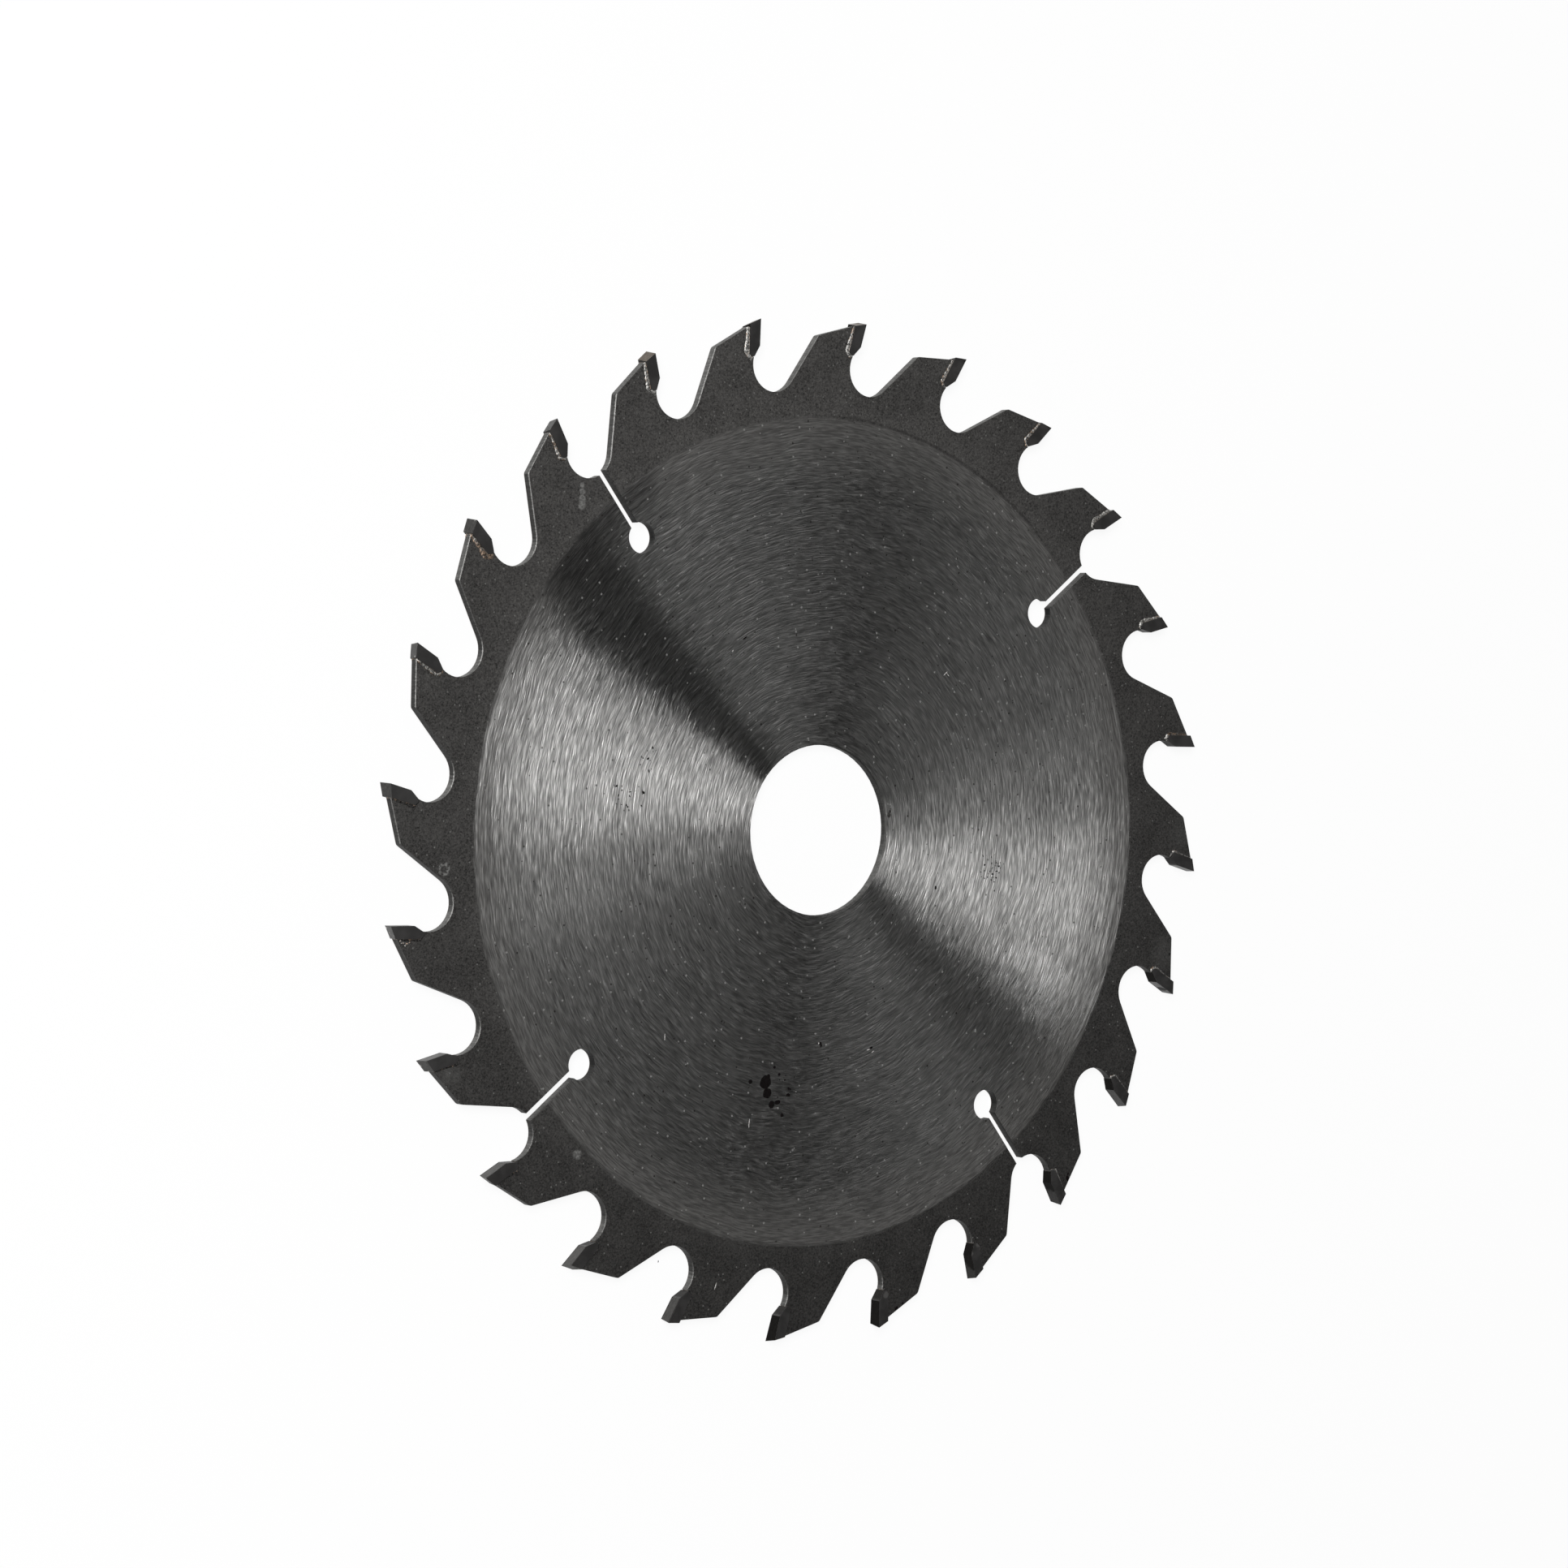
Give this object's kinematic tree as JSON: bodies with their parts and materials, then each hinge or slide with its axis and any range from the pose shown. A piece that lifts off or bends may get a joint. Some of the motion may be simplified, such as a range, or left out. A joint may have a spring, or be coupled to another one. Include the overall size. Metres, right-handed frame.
{
  "type": "circular saw blade",
  "caption": "Thin steel disc with carbide-tipped teeth around its rim, a round centre bore and keyhole expansion slots, for sawing wood in a circular saw.",
  "frame": {"origin": "on the bore's axis, half-way through the plate's thickness", "axes": "+Z runs along the bore's axis out of the pictured face, and +Y points at the cutting point of the first tooth. Teeth are counted clockwise seen from +Z, and they cut clockwise."},
  "size_m": [0.18, 0.18, 0.0026],
  "materials": {
    "plate_steel": "dark ground steel with fine circular brushing, and a darker matt band under the teeth",
    "carbide": "dark ground tungsten carbide with crisp glinting edges",
    "braze": "lumpy silver brazing alloy with copper-coloured patches"
  },
  "bodies": {
    "root": {"plate": "plate_steel", "tip_01": "carbide", "braze_01": "braze", "tip_02": "carbide", "braze_02": "braze", "tip_03": "carbide", "braze_03": "braze", "tip_04": "carbide", "braze_04": "braze", "tip_05": "carbide", "braze_05": "braze", "tip_06": "carbide", "braze_06": "braze", "tip_07": "carbide", "braze_07": "braze", "tip_08": "carbide", "braze_08": "braze", "tip_09": "carbide", "braze_09": "braze", "tip_10": "carbide", "braze_10": "braze", "tip_11": "carbide", "braze_11": "braze", "tip_12": "carbide", "braze_12": "braze", "tip_13": "carbide", "braze_13": "braze", "tip_14": "carbide", "braze_14": "braze", "tip_15": "carbide", "braze_15": "braze", "tip_16": "carbide", "braze_16": "braze", "tip_17": "carbide", "braze_17": "braze", "tip_18": "carbide", "braze_18": "braze", "tip_19": "carbide", "braze_19": "braze", "tip_20": "carbide", "braze_20": "braze", "tip_21": "carbide", "braze_21": "braze", "tip_22": "carbide", "braze_22": "braze", "tip_23": "carbide", "braze_23": "braze", "tip_24": "carbide", "braze_24": "braze"}
  },
  "joints": []
}
